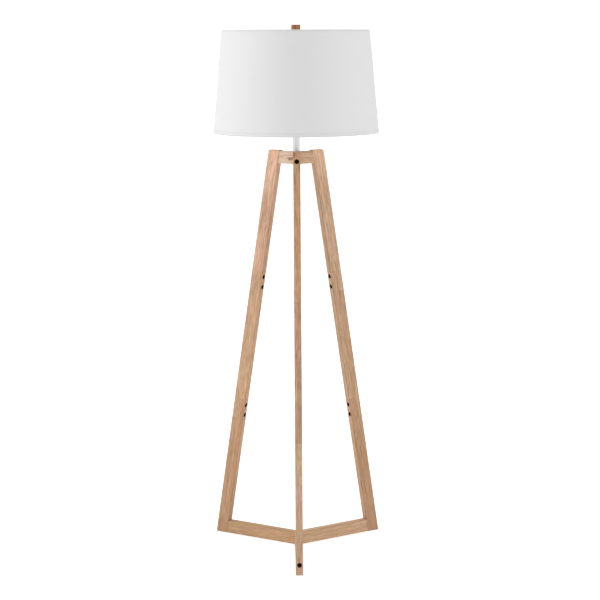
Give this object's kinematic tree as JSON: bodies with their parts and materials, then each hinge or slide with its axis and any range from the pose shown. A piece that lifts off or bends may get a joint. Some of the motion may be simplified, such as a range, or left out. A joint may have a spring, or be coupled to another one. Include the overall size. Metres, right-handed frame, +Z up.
{
  "type": "tripod floor lamp",
  "caption": "Timber tripod floor lamp: lapped and bolted legs with floor rails, a short painted neck and an empire drum shade in white fabric on a harp.",
  "frame": {"origin": "on the lamp's vertical axis at floor level, at the underside of the pad below the rails' junction", "axes": "+Z up, the front leg along -Y, the other two legs at 30 and 150 degrees from +X"},
  "size_m": [0.4784, 0.4994, 1.473],
  "materials": {
    "leg_timber": "clear matt lacquer on straight-grained oak",
    "finial_timber": "clear matt lacquer, a little darker than the legs",
    "black_steel": "satin black oxide",
    "zinc_steel": "bright zinc plate",
    "painted_neck": "satin warm white paint",
    "brass": "satin brass plate",
    "insulator": "moulded ivory insulator",
    "black_plastic": "moulded black",
    "bulb": "frosted white diffuser",
    "shade_fabric": "fine white plain weave on a stiff liner",
    "shade_wire": "white powder coat",
    "felt": "pressed felt"
  },
  "bodies": {
    "stand": {"front_leg_upper": "leg_timber", "front_leg_middle": "leg_timber", "front_leg_lower": "leg_timber", "front_arm": "leg_timber", "front_rail": "leg_timber", "front_arm_bolt": "black_steel", "front_upper_lap_bolt_1": "black_steel", "front_upper_lap_bolt_2": "black_steel", "front_lower_lap_bolt_1": "black_steel", "front_lower_lap_bolt_2": "black_steel", "front_rail_bolt": "black_steel", "front_plate_screw": "zinc_steel", "front_foot_pad": "felt", "right_leg_upper": "leg_timber", "right_leg_middle": "leg_timber", "right_leg_lower": "leg_timber", "right_arm": "leg_timber", "right_rail": "leg_timber", "right_arm_bolt": "black_steel", "right_upper_lap_bolt_1": "black_steel", "right_upper_lap_bolt_2": "black_steel", "right_lower_lap_bolt_1": "black_steel", "right_lower_lap_bolt_2": "black_steel", "right_rail_bolt": "black_steel", "right_plate_screw": "zinc_steel", "right_foot_pad": "felt", "left_leg_upper": "leg_timber", "left_leg_middle": "leg_timber", "left_leg_lower": "leg_timber", "left_arm": "leg_timber", "left_rail": "leg_timber", "left_arm_bolt": "black_steel", "left_upper_lap_bolt_1": "black_steel", "left_upper_lap_bolt_2": "black_steel", "left_lower_lap_bolt_1": "black_steel", "left_lower_lap_bolt_2": "black_steel", "left_rail_bolt": "black_steel", "left_plate_screw": "zinc_steel", "left_foot_pad": "felt", "centre_plate": "zinc_steel", "centre_pad": "felt", "lamp_pipe": "zinc_steel", "neck_tube": "painted_neck", "hub_nut": "zinc_steel", "saddle_nut": "zinc_steel", "cord_bushing": "black_plastic", "harp_saddle": "brass", "harp": "brass", "socket_cap": "brass", "socket_shell": "brass", "socket_body": "insulator", "bulb": "bulb"},
    "shade": {"shade_cover": "shade_fabric", "shade_spider": "shade_wire", "shade_top_ring": "shade_wire", "shade_bottom_ring": "shade_wire"},
    "finial_knob": {"finial": "finial_timber"},
    "key": {"switch_key": "black_plastic"},
    "sleeve_left": {"harp_sleeve_left": "brass"},
    "sleeve_right": {"harp_sleeve_right": "brass"}
  },
  "joints": [
    {"name": "shade_turn", "type": "hinge", "parent": "stand", "child": "shade", "pos_m": [0, 0, 1.4462], "axis": [0, 0, 1], "continuous": true},
    {"name": "finial_turn", "type": "hinge", "parent": "stand", "child": "finial_knob", "pos_m": [0, 0, 1.4605], "axis": [0, 0, 1], "continuous": true},
    {"name": "switch_turn", "type": "hinge", "parent": "stand", "child": "key", "pos_m": [0, -0.032, 1.252], "axis": [0, -1, 0], "continuous": true},
    {"name": "sleeve_left_lift", "type": "slide", "parent": "stand", "child": "sleeve_left", "axis": [0, 0, 1], "range_m": [0, 0.01]},
    {"name": "sleeve_right_lift", "type": "slide", "parent": "stand", "child": "sleeve_right", "axis": [0, 0, 1], "range_m": [0, 0.01]}
  ]
}
